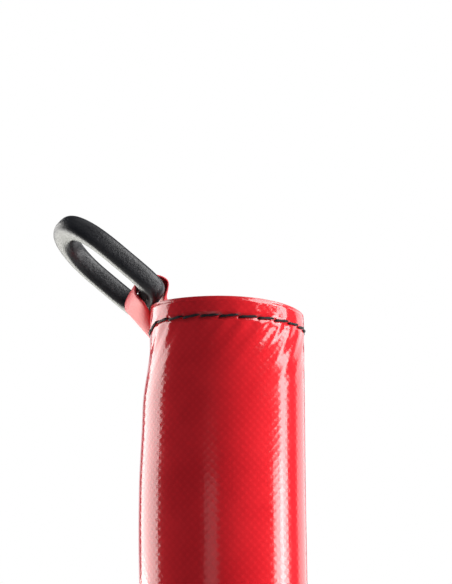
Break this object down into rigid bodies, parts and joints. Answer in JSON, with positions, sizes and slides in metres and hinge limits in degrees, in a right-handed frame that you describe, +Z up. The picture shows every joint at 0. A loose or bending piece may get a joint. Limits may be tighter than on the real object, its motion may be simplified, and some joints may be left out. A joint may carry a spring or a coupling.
{
  "type": "windsock with pole",
  "caption": "Portable windsock on a telescopic swivel-top pole, stowed in a red coated-fabric sleeve with a stitched mouth and a hanging ring.",
  "frame": {"origin": "centre of the sleeve's base disc, on its outer face", "axes": "+Z up the sleeve towards its mouth, the hanging ring on the -X side, the lengthwise seam at the back towards +Y"},
  "size_m": [0.0843, 0.0526, 0.5317],
  "materials": {
    "red_pvc": "glossy coated fabric",
    "black_thread": "twisted thread",
    "moulded_black": "satin",
    "ring_plastic": "fine grain",
    "aluminium_tube": "drawn, anodised",
    "steel": "turned",
    "nylon": "matte",
    "foam": "closed-cell foam",
    "orange_ripstop": "woven",
    "white_ripstop": "woven"
  },
  "bodies": {
    "sleeve": {"sleeve_tube": "red_pvc", "mouth_hem": "red_pvc", "mouth_stitching": "black_thread", "base_disc": "red_pvc", "base_stitching": "black_thread", "seam_strip": "red_pvc", "seam_stitching": "black_thread", "ring_tab": "red_pvc", "tab_stitching": "black_thread"},
    "ring": {"hang_ring": "ring_plastic"},
    "mast_1": {"ground_spike": "steel", "base_plug": "moulded_black", "mast_tube_1": "aluminium_tube", "foam_grip": "foam"},
    "collar_1": {"lock_collar_1": "moulded_black"},
    "mast_2": {"mast_tube_2": "aluminium_tube", "slide_bush_2": "nylon"},
    "collar_2": {"lock_collar_2": "moulded_black"},
    "mast_3": {"mast_tube_3": "aluminium_tube", "slide_bush_3": "nylon"},
    "collar_3": {"lock_collar_3": "moulded_black"},
    "mast_4": {"mast_tube_4": "aluminium_tube", "slide_bush_4": "nylon", "tip_plug": "moulded_black", "swivel_spindle": "steel", "spindle_nut": "steel", "thrust_washer": "nylon"},
    "vane": {"lower_clip": "moulded_black", "upper_clip": "moulded_black", "spacer_tube": "aluminium_tube", "hoop": "steel", "mouth_binding": "orange_ripstop", "sock_band_1": "orange_ripstop", "sock_band_2": "white_ripstop", "sock_band_3": "orange_ripstop", "sock_band_4": "white_ripstop", "sock_band_5": "orange_ripstop", "tail_hem": "orange_ripstop"}
  },
  "joints": [
    {"name": "ring_swing", "type": "hinge", "parent": "sleeve", "child": "ring", "pos_m": [-0.0265, 0.0045, 0.5055], "axis": [0.2766, -0.9538, 0.1176], "range_deg": [-85, 15]},
    {"name": "kit_slide", "type": "slide", "parent": "sleeve", "child": "mast_1", "axis": [0, 0, 1], "range_m": [0, 0.5]},
    {"name": "mast_slide_2", "type": "slide", "parent": "mast_1", "child": "mast_2", "axis": [0, 0, 1], "range_m": [0, 0.22]},
    {"name": "mast_slide_3", "type": "slide", "parent": "mast_2", "child": "mast_3", "axis": [0, 0, 1], "range_m": [0, 0.24]},
    {"name": "mast_slide_4", "type": "slide", "parent": "mast_3", "child": "mast_4", "axis": [0, 0, 1], "range_m": [0, 0.25]},
    {"name": "collar_turn_1", "type": "hinge", "parent": "mast_1", "child": "collar_1", "pos_m": [0, 0, 0.336], "axis": [0, 0, 1], "range_deg": [0, 120]},
    {"name": "collar_turn_2", "type": "hinge", "parent": "mast_2", "child": "collar_2", "pos_m": [0, 0, 0.362], "axis": [0, 0, 1], "range_deg": [0, 120]},
    {"name": "collar_turn_3", "type": "hinge", "parent": "mast_3", "child": "collar_3", "pos_m": [0, 0, 0.388], "axis": [0, 0, 1], "range_deg": [0, 120]},
    {"name": "sock_swivel", "type": "hinge", "parent": "mast_4", "child": "vane", "pos_m": [0, 0, 0.4535], "axis": [0, 0, 1], "continuous": true}
  ]
}
